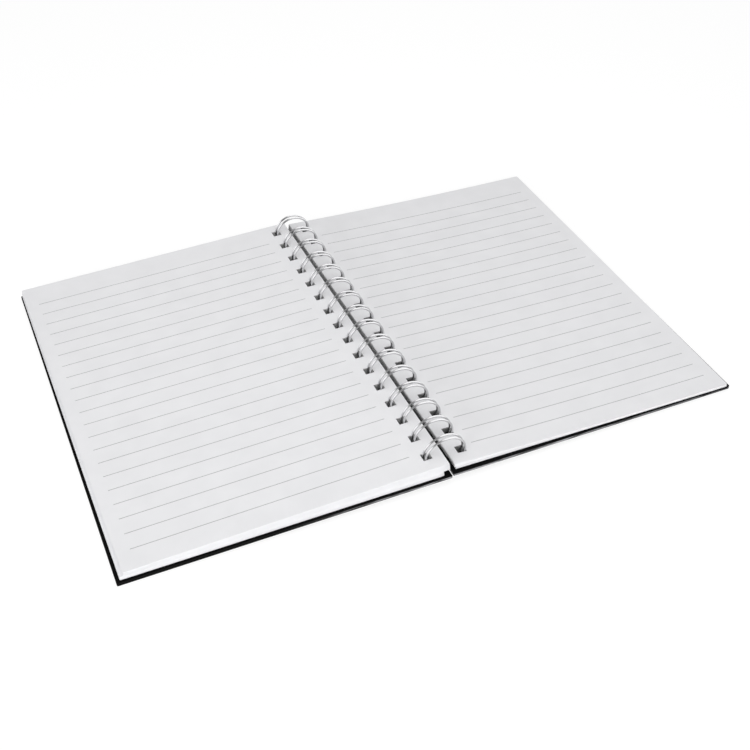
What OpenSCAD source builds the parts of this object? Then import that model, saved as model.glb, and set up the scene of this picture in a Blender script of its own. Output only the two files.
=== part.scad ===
// An A5 wire-bound notebook lying open on a table.
// Each cover rests on its fore edge, and its spine edge is lifted where the rings pass under it.
// X runs across the spread, Y up the spine, Z up; the origin is under the middle of the spine.

/* [Covers] */
// Width of each cover board, from the spine edge to the fore edge
cover_w = 148; // [120:1:200]
// Height of each cover board, along the spine
cover_h = 209; // [206:1:240]
// Thickness of each cover board
cover_t = 1.6; // [1.2:0.1:2.4]
// Radius of the covers' corners at the fore edge
cover_corner_r = 1.5; // [1:0.5:8]
// Height of a cover's underside above the table at its spine edge
cover_lift = 2.8; // [2.6:0.1:3.4]
// Gap between the two covers' spine edges
cover_gap = 0.8; // [0.6:0.1:2]

/* [Endpapers] */
// Thickness of the sheet glued to the inside of each cover
endpaper_t = 0.2; // [0.1:0.05:0.3]
// Strip of cover seen around an endpaper
endpaper_margin = 1.2; // [0.2:0.1:3]

/* [Leaves] */
// Strip of cover seen beyond the leaves at the head and at the tail
head_margin = 1.2; // [0.5:0.1:3]
// Strip of cover seen beyond the leaves at the fore edge
fore_margin = 2.2; // [0.5:0.1:4]
// Distance from a cover's spine edge back to the leaves' spine edge
spine_margin = 0.8; // [0.2:0.1:1.5]
// Radius of the leaves' corners at the fore edge
leaf_corner_r = 1; // [0.5:0.5:6]
// Thickness of the left block at the fore edge
left_fore_t = 4.3; // [2:0.1:4.8]
// Thickness of the left block at the spine, where the rings hold the leaves apart
left_spine_t = 5.2; // [2:0.1:5.4]
// Thickness of the right block at the fore edge
right_fore_t = 2.2; // [1.5:0.1:4.4]
// Thickness of the right block at the spine
right_spine_t = 3.6; // [2:0.1:4.8]
// How far the right block's upper leaves sag below a straight line
right_sag = 0.9; // [0.4:0.1:1.2]
// How far the lowest leaf of the left block stands out past the open one at the fore edge
left_fan = 1; // [0:0.1:1.8]
// How far the lowest leaf of the right block stands out past the open one at the fore edge
right_fan = 0.6; // [0:0.1:1.8]

/* [Rings] */
// Outer diameter of the rings
ring_d = 19; // [19:0.5:22]
// Diameter of the wire
wire_d = 1; // [0.8:0.1:1.2]
// Number of double rings
ring_count = 16; // [4:1:16]
// Distance from one double ring to the next
ring_pitch = 12.7; // [11:0.1:12.9]
// Distance between the two wires of a double ring
wire_pair = 2.6; // [2.4:0.1:2.8]
// Side of the square holes
hole = 4.3; // [4.1:0.1:4.8]
// Angle from the bottom of a ring to the root, where the wire turns along the spine
root_angle = 10; // [9:1:14]
// Angle from the bottom of a ring to the end of its arcs, on the other side of the seam
tip_angle = 8; // [7:1:12]
// Bend radius of the wire at the root
elbow_r = 1; // [0.8:0.1:1.4]

/* [Hidden] */

LEFT = -1;
RIGHT = 1;
round_fn = 48;
// facets of a sagging leaf, from its fore edge to its spine edge
sag_steps = 20;
// the tubes at the bends are a hair thinner, so each one ends inside the next
bend_d = wire_d - 0.04;
bend_overlap = 0.02;
// how far a cutter runs past the faces that it cuts
past = 5;

ring_r = (ring_d - wire_d) / 2;
tip_r = wire_pair / 2;
// the tips of the rings touch the table
axis_z = ring_r * cos(tip_angle) + tip_r * sin(tip_angle) + wire_d / 2;

cover_outer_x = cover_w + cover_gap / 2;
cover_tilt = asin(cover_lift / cover_w);
leaf_w = cover_w - fore_margin - spine_margin;
leaf_h = cover_h - 2 * head_margin;
// height of the lowest leaf above the cover's underside
leaf_base = cover_t + endpaper_t;

// distance of the wire from the spine's middle plane, at height z
function wire_x(z) = sqrt(pow(ring_r, 2) - pow(z - axis_z, 2));
// each hole lies over the middle of the wire's way through that layer
cover_hole_x = (wire_x(cover_lift) + wire_x(cover_lift + cover_t)) / 2;
leaf_hole_x = (wire_x(cover_lift + leaf_base) + ring_r) / 2;
// the height of ring i along the spine
function ring_y(i) = (i - (ring_count - 1) / 2) * ring_pitch;

// height of a block's top, at a part t of the way from its fore edge to its spine edge
function block_top(fore_t, spine_t, sag, t) = fore_t + (spine_t - fore_t) * t - 4 * sag * t * (1 - t);

// puts a half's own frame, with X from its fore edge to its spine edge, in the open book
module half(side) {
    mirror([side == RIGHT ? 1 : 0, 0, 0])
        translate([-cover_outer_x, 0, 0])
            rotate([0, -cover_tilt, 0])
                children();
}

// a sheet's outline, from its fore edge at X = 0, with both fore corners rounded
module sheet_outline(w, h, r) {
    translate([r, -h / 2])
        square([w - r, h]);
    translate([0, r - h / 2])
        square([r, h - 2 * r]);
    for (end = [-1, 1])
        translate([r, end * (h / 2 - r)])
            circle(r = r, $fn = round_fn);
}

// the row of square cutters, at a distance x from the spine's middle plane
module hole_row(x, height) {
    for (i = [0 : ring_count - 1])
        translate([cover_outer_x - x, ring_y(i), height / 2])
            cube([hole, hole, height + 2 * past], center = true);
}

module cover(side) {
    half(side)
        difference() {
            linear_extrude(cover_t)
                sheet_outline(cover_w, cover_h, cover_corner_r);
            hole_row(cover_hole_x, cover_t);
        }
}

// a block of leaves seen from its tail, from the open leaf's fore edge at X = 0
module block_profile(fore_t, spine_t, sag, fan, steps) {
    top = [for (i = [steps : -1 : 0])
        [leaf_w * i / steps, block_top(fore_t, spine_t, sag, i / steps)]];
    polygon(concat([[-fan, 0], [leaf_w, 0]], top));
}

module leaf_block(side, fore_t, spine_t, sag, fan, steps) {
    half(side)
        translate([fore_margin, 0, leaf_base])
            difference() {
                intersection() {
                    rotate([90, 0, 0])
                        linear_extrude(leaf_h, center = true)
                            block_profile(fore_t, spine_t, sag, fan, steps);
                    translate([-fan, 0, 0])
                        linear_extrude(spine_t + fore_t)
                            sheet_outline(leaf_w + fan, leaf_h, leaf_corner_r);
                }
                translate([-fore_margin, 0, 0])
                    hole_row(leaf_hole_x, spine_t);
            }
}

// a piece of wire bent to a part of a circle about Z
module bend(r, angle, d) {
    rotate_extrude(angle = angle, $fn = 2 * round_fn)
        translate([r, 0])
            circle(d = d, $fn = round_fn);
}

// puts what is drawn flat, with X along the wire and Y along the spine, on the ring at an angle
// from its lowest point, towards the left half
module on_ring(angle) {
    translate([0, 0, axis_z])
        rotate([0, angle, 0])
            translate([0, 0, -ring_r])
                children();
}

// one wire of a ring, from the root over the top to the tip
module ring_arc() {
    translate([0, 0, axis_z])
        rotate([90, 0, 0])
            rotate(tip_angle - 90)
                bend(ring_r, 360 - root_angle - tip_angle, wire_d);
}

module ring_tip() {
    on_ring(-tip_angle)
        translate([bend_overlap, 0, 0])
            rotate(90)
                bend(tip_r, 180, bend_d);
}

// from the end of an arc round to the wire along the spine, towards end = 1 or -1
module root_elbow(end) {
    on_ring(root_angle)
        translate([-bend_overlap, 0, 0])
            mirror([0, end < 0 ? 1 : 0, 0])
                translate([0, tip_r + elbow_r, 0])
                    rotate(-90)
                        bend(elbow_r, 90, bend_d);
}

// the straight wire at the root, from ring i to the next
module root_link(i) {
    length = ring_pitch - wire_pair - 2 * elbow_r + 2 * bend_overlap;
    on_ring(root_angle)
        translate([elbow_r - bend_overlap, (ring_y(i) + ring_y(i + 1)) / 2, 0])
            rotate([90, 0, 0])
                cylinder(d = wire_d, h = length, center = true, $fn = round_fn);
}

module wire_binding() {
    color("silver") {
        for (i = [0 : ring_count - 1])
            translate([0, ring_y(i), 0]) {
                for (end = [-1, 1])
                    translate([0, end * tip_r, 0])
                        ring_arc();
                ring_tip();
                if (i < ring_count - 1)
                    root_elbow(1);
                if (i > 0)
                    root_elbow(-1);
            }
        for (i = [0 : ring_count - 2])
            root_link(i);
    }
}

// the sheet glued inside a cover, which stops short of the cover's edges
module endpaper(side) {
    half(side)
        difference() {
            translate([endpaper_margin, 0, cover_t])
                linear_extrude(endpaper_t)
                    sheet_outline(cover_w - 2 * endpaper_margin, cover_h - 2 * endpaper_margin,
                        leaf_corner_r);
            hole_row(cover_hole_x, leaf_base);
        }
}

module front_cover() {
    color("#1a1a1c")
        cover(LEFT);
}

module front_endpaper() {
    color("#242427")
        endpaper(LEFT);
}

module back_cover() {
    color("#1a1a1c")
        cover(RIGHT);
}

module back_endpaper() {
    color("#242427")
        endpaper(RIGHT);
}

module left_pages() {
    color("whitesmoke")
        leaf_block(LEFT, left_fore_t, left_spine_t, 0, left_fan, 1);
}

module right_pages() {
    color("whitesmoke")
        leaf_block(RIGHT, right_fore_t, right_spine_t, right_sag, right_fan, sag_steps);
}

wire_binding();
front_cover();
front_endpaper();
back_cover();
back_endpaper();
left_pages();
right_pages();
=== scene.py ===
import math

import bpy
import numpy as np
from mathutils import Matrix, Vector


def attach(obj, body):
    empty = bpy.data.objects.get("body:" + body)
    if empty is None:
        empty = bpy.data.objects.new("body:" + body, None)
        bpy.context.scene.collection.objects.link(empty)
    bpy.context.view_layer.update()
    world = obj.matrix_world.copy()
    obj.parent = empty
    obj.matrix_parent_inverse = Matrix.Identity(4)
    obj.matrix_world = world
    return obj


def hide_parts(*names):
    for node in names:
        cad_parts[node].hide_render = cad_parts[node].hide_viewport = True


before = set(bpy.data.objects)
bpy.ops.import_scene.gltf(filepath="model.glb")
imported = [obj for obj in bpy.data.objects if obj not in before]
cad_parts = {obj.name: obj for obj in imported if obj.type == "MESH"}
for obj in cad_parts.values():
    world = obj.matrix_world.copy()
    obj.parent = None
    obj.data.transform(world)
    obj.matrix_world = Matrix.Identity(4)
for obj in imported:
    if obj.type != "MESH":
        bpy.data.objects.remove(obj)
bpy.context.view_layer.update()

scene = bpy.context.scene
scene.view_settings.view_transform = "Standard"

# Camera: it stands in front of the notebook, a little to the left of the spine, and looks down at it.
# Its place, aim and lens were worked out from the corners of the pages, the ruled lines and the rings.
MM = 0.001
camera_place = Vector((-178.91, -428.65, 374.99)) * MM
camera_aim = Vector((0.30539, 0.69712, -0.64866))
camera_film = 36
camera_lens = 57.27
camera_near = 10

camera_data = bpy.data.cameras.new("camera")
camera_data.sensor_fit = "HORIZONTAL"
camera_data.sensor_width = camera_film
camera_data.lens = camera_lens
camera_data.clip_start = camera_near * MM
camera = bpy.data.objects.new("camera", camera_data)
camera.location = camera_place
camera.rotation_euler = camera_aim.to_track_quat("-Z", "Y").to_euler()
scene.collection.objects.link(camera)
scene.camera = camera

# Table and studio: a wide white table top in a white room. A large soft lamp stands low on the left, a
# long low one in front, and a weak one hangs overhead. What shines shows the room brighter than it is,
# with a dark strip that runs over it along the spine.
table_size = 6000
table_drop = 0.02
table_glow = 0.84
table_grey = 0.20
table_cast = 0.8
room_low = -0.1
room_high = 0.9
room_low_light = 0.37
room_high_light = 0.51
shine_level = 1.6
strip_axis = (0.905, 0, 0.425)
strip_inside = 0.20
strip_outside = 0.45
strip_grey = 0.25
smooth_below = 35


class Socket:
    """One output of the nodes of a finish. An expression with it adds the Math nodes that it needs."""

    def __init__(self, finish, link):
        self.finish = finish
        self.link = link

    def math(self, operation, first, second):
        return self.finish.node("ShaderNodeMath", {"operation": operation}, {0: first, 1: second})

    def __add__(self, other):
        return self.math("ADD", self, other)

    def __radd__(self, other):
        return self.math("ADD", other, self)

    def __sub__(self, other):
        return self.math("SUBTRACT", self, other)

    def __rsub__(self, other):
        return self.math("SUBTRACT", other, self)

    def __mul__(self, other):
        return self.math("MULTIPLY", self, other)

    def __rmul__(self, other):
        return self.math("MULTIPLY", other, self)

    def __lt__(self, other):
        return self.math("LESS_THAN", self, other)

    def __abs__(self):
        return self.math("ABSOLUTE", self, 0)


class Finish:
    """The nodes of a material or of the world. node() adds one and gives the output asked for."""

    def __init__(self, owner):
        owner.use_nodes = True
        self.owner = owner
        self.tree = owner.node_tree
        self.tree.nodes.clear()

    def node(self, kind, settings, sockets, output=0):
        node = self.tree.nodes.new(kind)
        for name, value in settings.items():
            if name == "stops":
                ramp = node.color_ramp
                while len(ramp.elements) < len(value):
                    ramp.elements.new(1)
                for element, (place, colour) in zip(ramp.elements, value):
                    element.position = place
                    element.color = colour
            else:
                setattr(node, name, value)
        for name, value in sockets.items():
            if isinstance(value, Socket):
                self.tree.links.new(value.link, node.inputs[name])
            else:
                node.inputs[name].default_value = value
        return Socket(self, node.outputs[output]) if node.outputs else None


def grey(level):
    return (level, level, level, 1)


def seen_straight(finish):
    """1 for what the camera sees, also in a reflection or through glass, and 0 for light that is cast."""
    camera_ray = finish.node("ShaderNodeLightPath", {}, {}, "Is Camera Ray")
    glossy_ray = finish.node("ShaderNodeLightPath", {}, {}, "Is Glossy Ray")
    through_ray = finish.node("ShaderNodeLightPath", {}, {}, "Is Transmission Ray")
    return finish.node("ShaderNodeClamp", {}, {"Value": camera_ray + glossy_ray + through_ray})


def mesh_object(name, points, faces, materials, face_material=None):
    """A mesh of points in millimetres, at the origin. It looks smooth but for its sharper edges."""
    mesh = bpy.data.meshes.new(name)
    mesh.from_pydata(np.asarray(points, float) * MM, [], [list(map(int, face)) for face in faces])
    for material in materials:
        mesh.materials.append(material)
    if face_material is not None:
        mesh.polygons.foreach_set("material_index", np.asarray(face_material, np.int32))
    mesh.polygons.foreach_set("use_smooth", np.ones(len(mesh.polygons), bool))
    mesh.set_sharp_from_angle(angle=math.radians(smooth_below))
    mesh.update()
    piece = bpy.data.objects.new(name, mesh)
    scene.collection.objects.link(piece)
    return piece


table_top = Finish(bpy.data.materials.new("white_table_top"))
table_glows = table_top.node("ShaderNodeEmission", {}, {"Color": grey(1), "Strength": table_glow})
table_shaded = table_top.node("ShaderNodeBsdfDiffuse", {}, {"Color": grey(table_grey)})
table_seen = table_top.node("ShaderNodeAddShader", {}, {0: table_glows, 1: table_shaded})
table_plain = table_top.node("ShaderNodeBsdfDiffuse", {}, {"Color": grey(table_cast)})
table_mix = table_top.node(
    "ShaderNodeMixShader", {}, {0: seen_straight(table_top), 1: table_plain, 2: table_seen})
table_top.node("ShaderNodeOutputMaterial", {}, {"Surface": table_mix})

half_table = table_size / 2
table_corners = [(-half_table, -half_table, 0), (half_table, -half_table, 0),
                 (half_table, half_table, 0), (-half_table, half_table, 0)]
table = mesh_object("table", table_corners, [(0, 1, 2, 3)], [table_top.owner])
table.location.z = -table_drop * MM

room = bpy.data.worlds.new("white_room")
scene.world = room
room_air = Finish(room)
room_way = room_air.node("ShaderNodeTexCoord", {}, {}, "Generated")
room_height = room_air.node("ShaderNodeSeparateXYZ", {}, {0: room_way}, "Z")
room_light = room_air.node("ShaderNodeMapRange", {}, {
    "Value": room_height, "From Min": room_low, "From Max": room_high,
    "To Min": room_low_light, "To Max": room_high_light})
strip_side = room_air.node("ShaderNodeVectorMath", {"operation": "DOT_PRODUCT"}, {
    0: room_way, 1: strip_axis}, "Value")
strip_light = room_air.node("ShaderNodeMapRange", {"interpolation_type": "SMOOTHSTEP"}, {
    "Value": abs(strip_side), "From Min": strip_inside, "From Max": strip_outside,
    "To Min": strip_grey, "To Max": 1})
in_gloss = room_air.node("ShaderNodeLightPath", {}, {}, "Is Glossy Ray")
room_shine = 1 - in_gloss * (1 - shine_level * strip_light)
room_straight = seen_straight(room_air)
room_strength = room_straight * room_shine + (1 - room_straight) * room_light
room_sky = room_air.node("ShaderNodeBackground", {}, {"Color": grey(1), "Strength": room_strength})
room_air.node("ShaderNodeOutputWorld", {}, {"Surface": room_sky})


def soft_lamp(name, place, width, height, watts):
    """A soft lamp that faces the middle of the notebook."""
    data = bpy.data.lights.new(name, "AREA")
    data.shape = "RECTANGLE"
    data.size = width * MM
    data.size_y = height * MM
    data.energy = watts
    lamp = bpy.data.objects.new(name, data)
    lamp.location = Vector(place) * MM
    lamp.rotation_euler = (-Vector(place)).to_track_quat("-Z", "Y").to_euler()
    lamp.visible_camera = False
    lamp.visible_glossy = False
    scene.collection.objects.link(lamp)


soft_lamp("left_lamp", place=(-1300, -1100, 400), width=900, height=600, watts=18.6)
soft_lamp("front_lamp", place=(500, -1500, 150), width=900, height=200, watts=7.6)
soft_lamp("top_lamp", place=(-15, -80, 600), width=600, height=600, watts=1.67)

# Wire binding: one steel wire, plated with nickel and polished, bent into sixteen double rings.
# It goes up and round each ring, turns back at its tip, and runs along the spine to the next root.
# The rings have rolled a little to the right and are slightly flat on top, and three are bent on the left.
ring_radius = 9.0
wire_radius = 0.5
ring_count = 16
ring_pitch = 12.7
wire_offset = 1.3
elbow_radius = 1.0
root_angle = 10
tip_angle = 8
axis_height = (ring_radius * math.cos(math.radians(tip_angle))
               + wire_offset * math.sin(math.radians(tip_angle)) + wire_radius)
arc_steps = 90
elbow_steps = 7
tip_steps = 13
wire_sides = 14
lean_seed = 11
ring_lean = 0.05
# the rings are out of place only above a height, and wholly so from a little higher up
roll_from = 4
roll_height = 5
ring_roll = 0.8
ring_forward = 0.25
ring_squash = 0.65
ring_bent = {0: -1.25, 1: -0.7, 3: -0.7}
wire_colour = (0.61, 0.61, 0.62, 1)
wire_roughness = 0.10


def ring_place(number):
    """The place of a ring along the spine."""
    return (number - (ring_count - 1) / 2) * ring_pitch


def on_ring(angle, along, across):
    """A point beside the ring's lowest point, turned up towards the left half by an angle."""
    turn = math.radians(angle)
    x = along * math.cos(turn) - ring_radius * math.sin(turn)
    z = -along * math.sin(turn) - ring_radius * math.cos(turn)
    return (x, across, axis_height + z)


def wire_bend(angle, radius, middle, turns):
    """The points of a bend in the wire, flat in the plane that touches the ring at an angle."""
    points = []
    for turn in turns:
        around = math.radians(turn)
        points.append(on_ring(angle, radius * math.cos(around), middle + radius * math.sin(around)))
    return points


def wire_path():
    """The middle of the wire, from its end at the first root to its end at the last one."""
    path = []
    lean = np.random.default_rng(lean_seed).uniform(-ring_lean, ring_lean, ring_count)
    elbow_middle = wire_offset + elbow_radius
    for number in range(ring_count):
        ring = []
        if number > 0:
            ring += wire_bend(root_angle, elbow_radius, -elbow_middle, np.linspace(0, 90, elbow_steps))
        for angle in np.linspace(root_angle, 360 - tip_angle, arc_steps)[1 if number > 0 else 0:]:
            ring.append(on_ring(angle, 0, -wire_offset))
        ring += wire_bend(-tip_angle, wire_offset, 0, np.linspace(-90, -270, tip_steps)[1:-1])
        for angle in np.linspace(360 - tip_angle, root_angle, arc_steps):
            ring.append(on_ring(angle, 0, wire_offset))
        if number < ring_count - 1:
            ring += wire_bend(root_angle, elbow_radius, elbow_middle, np.linspace(-90, 0, elbow_steps)[1:])
        for x, y, z in ring:
            above = max(z - roll_from, 0)
            rolled = min(above / roll_height, 1)
            leaning = lean[number] * (z / axis_height - 1)
            bent = ring_bent.get(number, 0) * min(max(-x / ring_radius, 0), 1) ** 2
            path.append((x + (ring_roll + bent) * rolled,
                         y + ring_place(number) + leaning - ring_forward * rolled,
                         z - ring_squash * above / (2 * axis_height - roll_from)))
    return np.array(path)


def tube(path, radius, sides):
    """A closed round tube along a path. The section is carried along without twisting."""
    steps = np.diff(path, axis=0)
    steps /= np.linalg.norm(steps, axis=1)[:, None]
    tangents = np.vstack([steps[:1], steps[:-1] + steps[1:], steps[-1:]])
    tangents /= np.linalg.norm(tangents, axis=1)[:, None]
    normal = np.cross(tangents[0], (0, 1, 0))
    turns = np.linspace(0, 2 * math.pi, sides, endpoint=False)
    rings = []
    for point, tangent in zip(path, tangents):
        normal = normal - tangent * normal.dot(tangent)
        normal /= np.linalg.norm(normal)
        other = np.cross(tangent, normal)
        rings.append(point + radius * (np.outer(np.cos(turns), normal) + np.outer(np.sin(turns), other)))
    points = np.vstack(rings)
    faces = []
    for row in range(len(path) - 1):
        for side in range(sides):
            near = row * sides + side
            next_side = row * sides + (side + 1) % sides
            faces.append((near, next_side, next_side + sides, near + sides))
    faces.append(tuple(range(sides - 1, -1, -1)))
    faces.append(tuple(range(len(points) - sides, len(points))))
    return points, faces


nickel = Finish(bpy.data.materials.new("polished_nickel"))
wire_at = nickel.node("ShaderNodeTexCoord", {}, {}, "Object")
wire_haze = nickel.node("ShaderNodeTexNoise", {}, {"Vector": wire_at, "Scale": 700, "Detail": 3})
wire_rubs = nickel.node("ShaderNodeTexNoise", {}, {"Vector": wire_at, "Scale": 3200, "Detail": 2})
wire_bump = nickel.node("ShaderNodeBump", {}, {
    "Strength": 0.06, "Distance": 0.02 * MM, "Height": wire_rubs}, "Normal")
nickel_surface = nickel.node("ShaderNodeBsdfPrincipled", {}, {
    "Base Color": wire_colour, "Metallic": 1, "Roughness": wire_roughness + wire_roughness * wire_haze,
    "Normal": wire_bump})
nickel.node("ShaderNodeOutputMaterial", {}, {"Surface": nickel_surface})

wire_points, wire_faces = tube(wire_path(), wire_radius, wire_sides)
wire = mesh_object("wire", wire_points, wire_faces, [nickel.owner])
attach(wire, "binding")
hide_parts("wire_binding")

# Covers: two stiff grey boards, wrapped in black laminated paper that is turned in over the edges.
# The square holes were punched last, so the grey of the board shows in their walls. The wire holds the
# boards at these holes, with enough play for each to lie a little askew.
cover_width = 148
cover_height = 209
cover_thickness = 1.6
cover_corner = 0.6
cover_corner_steps = 6
cover_lift = 2.8
cover_gap = 0.8
cover_trim = 0.1
cover_edge = 0.3
cover_edge_steps = 3
cover_edge_angle = 60
cover_columns_between = [40, 80, 120]
hole_side = 4.3
# the boards stay in place along the row of holes, and are askew only further out and past its ends
cover_free_from = 12
past_last_hole = 98
cover_give = 6
cover_outer = cover_width + cover_gap / 2
cover_tilt = math.asin(cover_lift / cover_width)
LEFT = -1
RIGHT = 1
UPPER_FACE = 0
LOWER_FACE = 1
CUT_EDGE = 2
SPINE_EDGE = 3
PUNCHED_EDGE = 4
noise_dark = 0.3
noise_pale = 0.7


def wire_out(height):
    """How far the middle of the wire is from the spine's middle plane, at a height."""
    return math.sqrt(ring_radius ** 2 - (height - axis_height) ** 2)


cover_hole = cover_outer - (wire_out(cover_lift) + wire_out(cover_lift + cover_thickness)) / 2


def book_place(side, x, y, z):
    """Puts a half's own frame, with x from its fore edge to its spine edge, in the open book."""
    across = x * math.cos(cover_tilt) - z * math.sin(cover_tilt)
    up = x * math.sin(cover_tilt) + z * math.cos(cover_tilt)
    return np.stack([side * (cover_outer - across), y, up], axis=-1)


def corner_columns(first, corner, steps):
    """The grid lines across a rounded fore corner."""
    return [first + corner * (1 - math.cos(math.radians(angle))) for angle in np.linspace(0, 90, steps)]


def punched_rows(height, corner):
    """The grid lines along the spine: at both ends, just past the corners, and beside each hole."""
    rows = [-height / 2, -height / 2 + 2 * corner, height / 2 - 2 * corner, height / 2]
    for number in range(ring_count):
        rows += [ring_place(number) - hole_side / 2, ring_place(number) + hole_side / 2]
    return np.array(sorted(rows))


def punched_sheet(side, columns, rows, corner, hole_at, top, bottom):
    """A closed sheet on grid lines, with rounded fore corners and the row of square holes left open.
    It also gives the kind of each face."""
    first, last = columns[0], columns[-1]
    x, y = np.meshgrid(columns, rows, indexing="ij")
    inside = np.clip((x - first) / corner, 0, 1)
    half = rows[-1] - corner + corner * np.sqrt(1 - (1 - inside) ** 2)
    y = np.clip(y, -half, half)
    cells = np.ones((len(columns) - 1, len(rows) - 1), bool)
    middle_x = (columns[:-1] + columns[1:]) / 2
    middle_y = (rows[:-1] + rows[1:]) / 2
    in_x = np.abs(middle_x - hole_at) < hole_side / 2
    in_y = np.zeros(len(middle_y), bool)
    for number in range(ring_count):
        in_y |= np.abs(middle_y - ring_place(number)) < hole_side / 2
    cells[np.ix_(in_x, in_y)] = False
    upper = book_place(side, x, y, top(x))
    lower = book_place(side, x, y, bottom(x))
    count = x.size
    points = np.concatenate([upper.reshape(-1, 3), lower.reshape(-1, 3)])
    index = np.arange(count).reshape(x.shape)
    faces = []
    kinds = []
    for i, j in np.argwhere(cells):
        around = [index[i, j], index[i + 1, j], index[i + 1, j + 1], index[i, j + 1]]
        faces.append(around)
        faces.append([count + corner_index for corner_index in reversed(around)])
        kinds += [UPPER_FACE, LOWER_FACE]
        beside = [(i, j - 1), (i + 1, j), (i, j + 1), (i - 1, j)]
        for number, (a, b) in enumerate(beside):
            outside = a < 0 or b < 0 or a >= cells.shape[0] or b >= cells.shape[1]
            if outside or not cells[a, b]:
                start, end = around[number], around[(number + 1) % 4]
                faces.append([start, count + start, count + end, end])
                at_spine = a >= cells.shape[0]
                kinds.append(SPINE_EDGE if at_spine else CUT_EDGE if outside else PUNCHED_EDGE)
    if side == RIGHT:
        faces = [face[::-1] for face in faces]
    return points, faces, np.array(kinds)


def noise_stops(dark, pale):
    """The stops of a ramp that spreads a noise between two colours."""
    return [(noise_dark, dark), (noise_pale, pale)]


wrap = Finish(bpy.data.materials.new("black_laminated_wrap"))
wrap_at = wrap.node("ShaderNodeTexCoord", {}, {}, "Object")
wrap_grain = wrap.node("ShaderNodeTexNoise", {}, {"Vector": wrap_at, "Scale": 2600, "Detail": 3})
wrap_cloud = wrap.node("ShaderNodeTexNoise", {}, {"Vector": wrap_at, "Scale": 35, "Detail": 4})
wrap_black = wrap.node("ShaderNodeValToRGB", {
    "stops": noise_stops((0.005, 0.005, 0.006, 1), (0.010, 0.010, 0.011, 1))}, {"Fac": wrap_cloud})
wrap_bump = wrap.node("ShaderNodeBump", {}, {
    "Strength": 0.25, "Distance": 0.03 * MM, "Height": wrap_grain}, "Normal")
wrap_surface = wrap.node("ShaderNodeBsdfPrincipled", {}, {
    "Base Color": wrap_black, "Roughness": 0.34 + 0.14 * wrap_cloud, "Specular IOR Level": 0.12,
    "Normal": wrap_bump})
wrap.node("ShaderNodeOutputMaterial", {}, {"Surface": wrap_surface})

# The same wrap along the boards' edges, rubbed dull. Low down on the tail's edges it is grey in streaks,
# most of all near the rings:
# partly scuffs and partly a painted sheen, where the lower edge would reflect the low front light. The
# heights are above the board's underside.
sheen_scuff_tail = -101
sheen_scuff_bottom = 0.9
sheen_scuff_top = 1.35
sheen_scuff_left_end = -85
sheen_scuff_left_full = -5
sheen_scuff_right_full = 60
sheen_scuff_right_end = 150
sheen_scuff_streaks = (110, 110, 3000)
sheen_scuff_grey = (0.31, 0.31, 0.32, 1)

edges = Finish(bpy.data.materials.new("black_edges_scuffed_with_painted_sheen"))
edges_at = edges.node("ShaderNodeTexCoord", {}, {}, "Object")
edges_grain = edges.node("ShaderNodeTexNoise", {}, {"Vector": edges_at, "Scale": 2600, "Detail": 3})
edges_black = edges.node("ShaderNodeValToRGB", {
    "stops": noise_stops((0.003, 0.003, 0.003, 1), (0.007, 0.0065, 0.0065, 1))}, {"Fac": edges_grain})
edges_bump = edges.node("ShaderNodeBump", {}, {
    "Strength": 0.3, "Distance": 0.03 * MM, "Height": edges_grain}, "Normal")
edges_x = edges.node("ShaderNodeSeparateXYZ", {}, {0: edges_at}, "X")
edges_y = edges.node("ShaderNodeSeparateXYZ", {}, {0: edges_at}, "Y")
edges_z = edges.node("ShaderNodeSeparateXYZ", {}, {0: edges_at}, "Z")
above_board = edges_z - cover_lift * MM + abs(edges_x) * (cover_lift / cover_outer)
sheen_scuff_left = edges.node("ShaderNodeMapRange", {"interpolation_type": "SMOOTHSTEP"}, {
    "Value": edges_x, "From Min": sheen_scuff_left_end * MM, "From Max": sheen_scuff_left_full * MM,
    "To Min": 0, "To Max": 1})
sheen_scuff_right = edges.node("ShaderNodeMapRange", {"interpolation_type": "SMOOTHSTEP"}, {
    "Value": edges_x, "From Min": sheen_scuff_right_full * MM, "From Max": sheen_scuff_right_end * MM,
    "To Min": 1, "To Max": 0.4})
sheen_scuff_low = edges.node("ShaderNodeMapRange", {"interpolation_type": "SMOOTHSTEP"}, {
    "Value": above_board, "From Min": sheen_scuff_bottom * MM, "From Max": sheen_scuff_top * MM,
    "To Min": 1, "To Max": 0})
streaks_at = edges.node("ShaderNodeVectorMath", {"operation": "MULTIPLY"}, {
    0: edges_at, 1: sheen_scuff_streaks}, "Vector")
streaks = edges.node("ShaderNodeTexNoise", {}, {"Vector": streaks_at, "Scale": 1, "Detail": 4})
streaked = edges.node("ShaderNodeMapRange", {"interpolation_type": "SMOOTHSTEP"}, {
    "Value": streaks, "From Min": 0.40, "From Max": 0.60, "To Min": 0.1, "To Max": 1})
# grey streaks low on the tail edges: scuffs and a painted sheen together
sheen_and_scuffs = streaked * sheen_scuff_left * sheen_scuff_right * sheen_scuff_low * (edges_y < sheen_scuff_tail * MM)
edges_colour = edges.node("ShaderNodeMix", {"data_type": "RGBA"}, {
    "Factor": sheen_and_scuffs, 6: edges_black, 7: sheen_scuff_grey}, 2)
edges_surface = edges.node("ShaderNodeBsdfPrincipled", {}, {
    "Base Color": edges_colour, "Roughness": 0.6, "Specular IOR Level": 0.03, "Normal": edges_bump})
edges.node("ShaderNodeOutputMaterial", {}, {"Surface": edges_surface})

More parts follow.
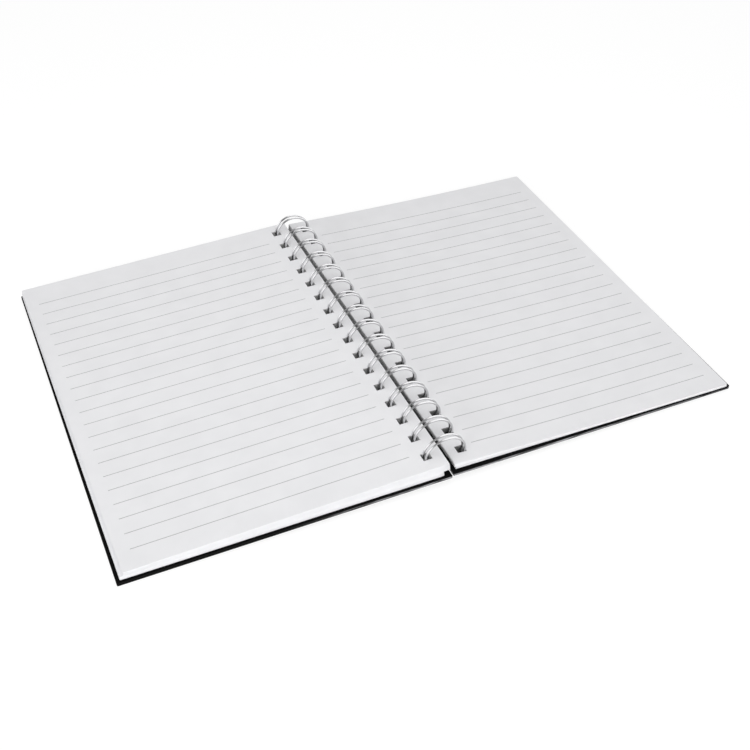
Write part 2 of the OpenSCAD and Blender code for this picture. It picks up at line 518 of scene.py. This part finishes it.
turned_in = Finish(bpy.data.materials.new("black_turned_in_wrap"))
turned_in_at = turned_in.node("ShaderNodeTexCoord", {}, {}, "Object")
turned_in_grain = turned_in.node("ShaderNodeTexNoise", {}, {
    "Vector": turned_in_at, "Scale": 1900, "Detail": 4})
turned_in_black = turned_in.node("ShaderNodeValToRGB", {
    "stops": noise_stops((0.003, 0.003, 0.003, 1), (0.006, 0.006, 0.006, 1))}, {"Fac": turned_in_grain})
turned_in_bump = turned_in.node("ShaderNodeBump", {}, {
    "Strength": 0.3, "Distance": 0.03 * MM, "Height": turned_in_grain}, "Normal")
turned_in_surface = turned_in.node("ShaderNodeBsdfPrincipled", {}, {
    "Base Color": turned_in_black, "Roughness": 0.7, "Specular IOR Level": 0.015,
    "Normal": turned_in_bump})
turned_in.node("ShaderNodeOutputMaterial", {}, {"Surface": turned_in_surface})

board = Finish(bpy.data.materials.new("grey_board_core"))
board_at = board.node("ShaderNodeTexCoord", {}, {}, "Object")
board_fibre = board.node("ShaderNodeTexNoise", {}, {"Vector": board_at, "Scale": 1800, "Detail": 4})
board_grey = board.node("ShaderNodeValToRGB", {
    "stops": noise_stops((0.34, 0.33, 0.32, 1), (0.52, 0.51, 0.49, 1))}, {"Fac": board_fibre})
board_bump = board.node("ShaderNodeBump", {}, {
    "Strength": 0.5, "Distance": 0.05 * MM, "Height": board_fibre}, "Normal")
board_surface = board.node("ShaderNodeBsdfPrincipled", {}, {
    "Base Color": board_grey, "Roughness": 0.9, "Normal": board_bump})
board.node("ShaderNodeOutputMaterial", {}, {"Surface": board_surface})

# the finish of each kind of face, as its number in the board's list of finishes
board_finishes = [wrap.owner, turned_in.owner, edges.owner, board.owner]
board_face_finish = [1, 0, 2, 2, 3]


def lie_askew(points, fore_angle, end_angle, along):
    """Turns a board's fore edge by one angle and its head and tail by another, and moves the head and
    the tail along the spine. The row of holes stays."""
    outward = np.abs(points[:, 0])
    free = np.clip((outward - cover_free_from) / (cover_outer - cover_free_from), 0, 1)
    past_holes = np.clip((np.abs(points[:, 1]) - past_last_hole) / cover_give, 0, 1)
    middle = points[:, 0].mean()
    slant = math.radians(end_angle) * (points[:, 0] - middle)
    points[:, 0] -= math.radians(fore_angle) * points[:, 1] * free
    points[:, 1] += (along + slant) * past_holes


def cover_board(name, side, body, node, askew):
    """One board. Its fine rounded edge is added by a bevel."""
    holes = [cover_hole - hole_side / 2, cover_hole + hole_side / 2]
    columns = np.array(corner_columns(0, cover_corner, cover_corner_steps) + cover_columns_between
                       + holes + [cover_width - cover_trim])
    points, faces, kinds = punched_sheet(
        side, columns, punched_rows(cover_height, cover_corner), cover_corner, cover_hole,
        lambda x: np.full(x.shape, cover_thickness), lambda x: np.zeros(x.shape))
    lie_askew(points, *askew)
    piece = mesh_object(name, points, faces, board_finishes, np.choose(kinds, board_face_finish))
    rounded = piece.modifiers.new("turned_edges", "BEVEL")
    rounded.width = cover_edge * MM
    rounded.segments = cover_edge_steps
    rounded.limit_method = "ANGLE"
    rounded.angle_limit = math.radians(cover_edge_angle)
    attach(piece, body)
    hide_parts(node)


cover_board("front_cover_board", LEFT, "front", "front_cover", (-0.65, -0.65, -0.2))
cover_board("back_cover_board", RIGHT, "binding", "back_cover", (0.20, 0.89, 1.0))

# Endpapers: a sheet of heavy black paper glued to the inside of each board, just short of its edges.
# It hides where the wrap is turned in. The solids are right as they are and only get their paper.
endpaper = Finish(bpy.data.materials.new("black_endpaper"))
endpaper_at = endpaper.node("ShaderNodeTexCoord", {}, {}, "Object")
endpaper_fibre = endpaper.node("ShaderNodeTexNoise", {}, {
    "Vector": endpaper_at, "Scale": 1500, "Detail": 5})
endpaper_black = endpaper.node("ShaderNodeValToRGB", {
    "stops": noise_stops((0.004, 0.004, 0.005, 1), (0.008, 0.008, 0.009, 1))}, {"Fac": endpaper_fibre})
endpaper_bump = endpaper.node("ShaderNodeBump", {}, {
    "Strength": 0.4, "Distance": 0.04 * MM, "Height": endpaper_fibre}, "Normal")
endpaper_surface = endpaper.node("ShaderNodeBsdfPrincipled", {}, {
    "Base Color": endpaper_black, "Roughness": 0.85, "Specular IOR Level": 0.02,
    "Normal": endpaper_bump})
endpaper.node("ShaderNodeOutputMaterial", {}, {"Surface": endpaper_surface})
for node in ("front_endpaper", "back_endpaper"):
    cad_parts[node].data.materials.clear()
    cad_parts[node].data.materials.append(endpaper.owner)

# Leaves: sheets of smooth white writing paper, punched along the spine edge and threaded on the rings.
# None lies exactly over the next one, so the edges of each block show the leaves as fine lines. In both
# blocks the lower leaves have slid outwards, the most in the lower half.
leaf_fore = 2.2
leaf_spine = cover_width - 0.8
leaf_height = 206.6
leaf_corner = 0.5
leaf_corner_steps = 4
leaf_base = cover_thickness + 0.2
leaf_fill = 0.93
leaf_hole = cover_outer - (wire_out(cover_lift + leaf_base) + ring_radius) / 2
leaf_slip = 0.10
leaf_give = 3
leaves_to_right = 0.35
# the lower leaves stand out at the fore edge, partly more and more down the block and partly in a step
fan_reach = 40
fan_even = 0.3
fan_step = 0.7
fan_step_top = 0.52
fan_step_height = 0.12
# and they step back in a curve at the tail, between the holes and the spine edge
notch_top = 0.43
notch_height = 0.04
notch_curve = 4
notch_reach = 1.8
# the spine edge is told from the sides of the holes by the first, and the sides are found with the second
past_hole = 1
hole_slack = 0.5

paper = Finish(bpy.data.materials.new("writing_paper"))
paper_at = paper.node("ShaderNodeTexCoord", {}, {}, "Object")
paper_fibre = paper.node("ShaderNodeTexNoise", {}, {"Vector": paper_at, "Scale": 2200, "Detail": 4})
paper_cloud = paper.node("ShaderNodeTexNoise", {}, {"Vector": paper_at, "Scale": 90, "Detail": 3})
paper_white = paper.node("ShaderNodeValToRGB", {
    "stops": noise_stops((0.775, 0.775, 0.790, 1), (0.805, 0.805, 0.820, 1))}, {"Fac": paper_cloud})
paper_bump = paper.node("ShaderNodeBump", {}, {
    "Strength": 0.2, "Distance": 0.02 * MM, "Height": paper_fibre}, "Normal")
paper_surface = paper.node("ShaderNodeBsdfPrincipled", {}, {
    "Base Color": paper_white, "Roughness": 0.75, "Specular IOR Level": 0.2, "Normal": paper_bump})
paper.node("ShaderNodeOutputMaterial", {}, {"Surface": paper_surface})

# painted shade and light in the gap: how pale its paper is at two heights, towards the tail and from the
# middle to the head
cut_spread = 0.2
gap_shade_tail_end = -50
gap_shade_middle_end = -18
tail_gap_shade_heights = (6.7, 8.1)
tail_gap_shade_levels = (0.02, 2.4)
middle_gap_shade_heights = (4.6, 8.2)
middle_gap_shade_levels = (0.70, 1.1)


def by_height(finish, height, heights, levels):
    """A level that changes evenly between two heights."""
    return finish.node("ShaderNodeMapRange", {}, {
        "Value": height, "From Min": heights[0] * MM, "From Max": heights[1] * MM,
        "To Min": levels[0], "To Max": levels[1]})


def shaded_cut_paper(name, level, gap_shaded=False):
    """The cut edges of leaves, darker than the paper as painted shade. Those shaded for the gap are darker
    low down, and towards the tail near black there and pale at the top: painted shade low down, painted
    light on top."""
    finish = Finish(bpy.data.materials.new(name))
    at = finish.node("ShaderNodeTexCoord", {}, {}, "Object")
    burr = finish.node("ShaderNodeTexNoise", {}, {"Vector": at, "Scale": 2500, "Detail": 4})
    shades = noise_stops(grey((1 - cut_spread) * level), grey((1 + cut_spread) * level))
    colour = finish.node("ShaderNodeValToRGB", {"stops": shades}, {"Fac": burr})
    if gap_shaded:
        # painted shade in the gap: darker low down and towards the tail, with painted light at the top
        height = finish.node("ShaderNodeSeparateXYZ", {}, {0: at}, "Z")
        along = finish.node("ShaderNodeSeparateXYZ", {}, {0: at}, "Y")
        towards_tail = finish.node("ShaderNodeMapRange", {"interpolation_type": "SMOOTHSTEP"}, {
            "Value": along, "From Min": gap_shade_tail_end * MM, "From Max": gap_shade_middle_end * MM,
            "To Min": 1, "To Max": 0})
        tail_level = by_height(finish, height, tail_gap_shade_heights, tail_gap_shade_levels)
        middle_level = by_height(finish, height, middle_gap_shade_heights, middle_gap_shade_levels)
        gap_shade = tail_level * towards_tail + middle_level * (1 - towards_tail)
        colour = finish.node("ShaderNodeVectorMath", {"operation": "SCALE"}, {
            0: colour, "Scale": gap_shade}, "Vector")
    bump = finish.node("ShaderNodeBump", {}, {
        "Strength": 0.4, "Distance": 0.03 * MM, "Height": burr}, "Normal")
    surface = finish.node("ShaderNodeBsdfPrincipled", {}, {
        "Base Color": colour, "Roughness": 0.9, "Specular IOR Level": 0.2, "Normal": bump})
    finish.node("ShaderNodeOutputMaterial", {}, {"Surface": surface})
    return finish


def block_height(block, x):
    """The height of a block's top above its lowest leaf, at a distance from the cover's fore edge."""
    part = (x - leaf_fore) / (leaf_spine - leaf_fore)
    return block["fore"] + (block["spine"] - block["fore"]) * part - 4 * block["sag"] * part * (1 - part)


# the finish of each kind of face: plain paper, but for the edges at the spine and in the holes, which are
# darker with painted shade
leaf_face_finish = [0, 0, 0, 1, 2]


def leaf(block, number, slip_x, slip_y):
    """One leaf of a block. The lower leaves stand out at the fore edge, lie a little askew, and step
    back at the tail's spine corner. A lag moves their holes nearer to the spine, as round rings do."""
    share = number / block["leaves"]
    between = np.linspace(leaf_fore + leaf_corner, leaf_hole - hole_side / 2, block["steps"] + 1)[1:]
    columns = np.array(corner_columns(leaf_fore, leaf_corner, leaf_corner_steps) + list(between)
                       + [leaf_hole + hole_side / 2, block["spine_edge"]])

    def lower(x):
        return leaf_base + block_height(block, x) * share

    def upper(x):
        fill = np.where(x > leaf_hole + hole_side / 2 + past_hole, block["spine_fill"], leaf_fill)
        if number == block["leaves"] - 1:
            fill = leaf_fill
        return leaf_base + block_height(block, x) * (share + fill / block["leaves"])

    points, faces, kinds = punched_sheet(
        block["side"], columns, punched_rows(leaf_height, leaf_corner), leaf_corner, leaf_hole,
        upper, lower)
    to_tail = 0.5 - points[:, 1] / leaf_height
    outside = np.abs(points[:, 0])
    hole_far = cover_outer - leaf_hole + hole_side / 2
    hole_near = cover_outer - leaf_hole - hole_side / 2
    at_fore = np.clip((outside - hole_far) / fan_reach, 0, 1)
    at_spine = np.clip((hole_near - outside) / (hole_near - notch_reach), 0, 1)
    fan = block["fan_far"] + (block["fan_near"] - block["fan_far"]) * to_tail
    stepped = np.clip((fan_step_top - share) / fan_step_height, 0, 1)
    notched = np.clip((notch_top - share) / notch_height, 0, 1)
    points[:, 0] += block["side"] * at_fore * (fan * (fan_even * (1 - share) + fan_step * stepped) + slip_x)
    points[:, 0] += block["side"] * at_spine * (block["notch"] * notched * to_tail ** notch_curve + slip_x)
    at_hole = (outside > hole_near - hole_slack) & (outside < hole_far + hole_slack)
    points[at_hole, 0] -= block["side"] * block["hole_lag"] * (1 - share)
    past_holes = np.clip((np.abs(points[:, 1]) - past_last_hole) / leaf_give, 0, 1)
    askew = block["along"] + math.radians(block["askew"]) * (points[:, 0] - block["side"] * cover_outer / 2)
    points[:, 1] += (askew * (1 - share) + slip_y) * past_holes
    return points, faces, np.choose(kinds, leaf_face_finish)


def join(parts):
    """Puts pieces, each given as its points, faces and face materials, together in one mesh."""
    points = []
    faces = []
    start = 0
    for part_points, part_faces, part_skins in parts:
        points.append(part_points)
        faces += [[start + corner for corner in face] for face in part_faces]
        start += len(part_points)
    return np.concatenate(points), faces, np.concatenate([part[2] for part in parts])


def leaf_block(name, block, body, node):
    """A block's leaves as three pieces: the lowest leaf, the open one, and all those in between."""
    slips = np.random.default_rng(block["seed"]).uniform(-leaf_slip, leaf_slip, (block["leaves"], 2))
    leaves = [leaf(block, number, *slips[number]) for number in range(block["leaves"])]
    finishes = [paper.owner, block["spine_shaded_cut"].owner, block["hole_shaded_cut"].owner]
    layers = {"_lowest_leaf": leaves[:1], "_leaves": leaves[1:-1], "_open_leaf": leaves[-1:]}
    for layer_name, layer in layers.items():
        points, faces, skins = join(layer)
        piece = mesh_object(name + layer_name, points, faces, finishes, skins)
        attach(piece, body)
        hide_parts(node)


# the levels of the paper at the spine and in the holes are painted shade, darker than the paper, for the
# gap between the blocks and the holes
left_block = {
    "side": LEFT, "leaves": 46, "fore": 4.3, "spine": 5.2, "sag": 0, "steps": 3, "seed": 21,
    "spine_edge": leaf_spine + leaves_to_right, "spine_fill": 0.6, "hole_lag": 0,
    "fan_near": 1.7, "fan_far": 0.4, "notch": 3.1, "askew": -0.68, "along": -0.48,
    "spine_shaded_cut": shaded_cut_paper("paper_at_the_left_spine_painted_shade", 0.45),
    "hole_shaded_cut": shaded_cut_paper("paper_in_the_left_holes_painted_shade", 0.58),
    "rule_shift": -0.15, "rule_fore": 8.05}
right_block = {
    "side": RIGHT, "leaves": 22, "fore": 2.2, "spine": 3.6, "sag": 0.9, "steps": 18, "seed": 22,
    "spine_edge": leaf_spine - leaves_to_right, "spine_fill": 0.88, "hole_lag": 0.7,
    "fan_near": 0.7, "fan_far": 0.5, "notch": 0.8, "askew": 0.10, "along": 0.60,
    "spine_shaded_cut": shaded_cut_paper("paper_at_the_right_spine_painted_shade", 0.32, gap_shaded=True),
    "hole_shaded_cut": shaded_cut_paper("paper_in_the_right_holes_painted_shade", 0.33),
    "rule_shift": -0.95, "rule_fore": 8.5}
leaf_block("left", left_block, "left_block", "left_pages")
leaf_block("right", right_block, "right_block", "right_pages")

# Ruled lines: pale grey lines printed on both sides of each leaf, nine millimetres apart. They are as
# thick as a film of ink and follow the bend of their leaf. Those of the right page were printed a little
# nearer to the tail.
rule_count = 21
rule_pitch = 9
rule_first = 87.7
rule_width = 0.24
rule_length = 125.2
rule_ink = 0.012
rule_soaked = 0.01

ink = Finish(bpy.data.materials.new("grey_ink"))
ink_at = ink.node("ShaderNodeTexCoord", {}, {}, "Object")
ink_patches = ink.node("ShaderNodeTexNoise", {}, {"Vector": ink_at, "Scale": 900, "Detail": 3})
ink_grey = ink.node("ShaderNodeValToRGB", {
    "stops": noise_stops((0.23, 0.23, 0.24, 1), (0.30, 0.30, 0.31, 1))}, {"Fac": ink_patches})
ink_surface = ink.node("ShaderNodeBsdfPrincipled", {}, {
    "Base Color": ink_grey, "Roughness": 0.8, "Specular IOR Level": 0.2})
ink.node("ShaderNodeOutputMaterial", {}, {"Surface": ink_surface})


def ruled_page(name, block, body, share, facing):
    """The lines of one page: a closed sliver for each, just proud of the paper on the side it faces."""
    parts = []
    columns = np.linspace(block["rule_fore"], block["rule_fore"] + rule_length, block["steps"] + 2)
    count = len(columns)
    for number in range(rule_count):
        middle = rule_first + block["rule_shift"] - rule_pitch * number
        far_side = middle + rule_width / 2
        near_side = middle - rule_width / 2
        sections = []
        for y, proud in ((near_side, -rule_soaked), (far_side, -rule_soaked),
                         (far_side, rule_ink), (near_side, rule_ink)):
            z = leaf_base + block_height(block, columns) * share + facing * proud
            sections.append(book_place(block["side"], columns, np.full(count, y), z))
        points = np.concatenate(sections)
        faces = []
        for section in range(4):
            after = (section + 1) % 4
            for i in range(count - 1):
                faces.append([section * count + i, section * count + i + 1,
                              after * count + i + 1, after * count + i])
        faces.append([0, count, 2 * count, 3 * count])
        faces.append([4 * count - 1, 3 * count - 1, 2 * count - 1, count - 1])
        if block["side"] * facing > 0:
            faces = [face[::-1] for face in faces]
        parts.append((points, faces, np.zeros(len(faces), int)))
    points, faces, skins = join(parts)
    piece = mesh_object(name, points, faces, [ink.owner], skins)
    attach(piece, body)


for name, block, body in (("left", left_block, "left_block"), ("right", right_block, "right_block")):
    top_share = (block["leaves"] - 1 + leaf_fill) / block["leaves"]
    ruled_page(name + "_open_rules", block, body, top_share, 1)
    ruled_page(name + "_lowest_rules", block, body, 0, -1)
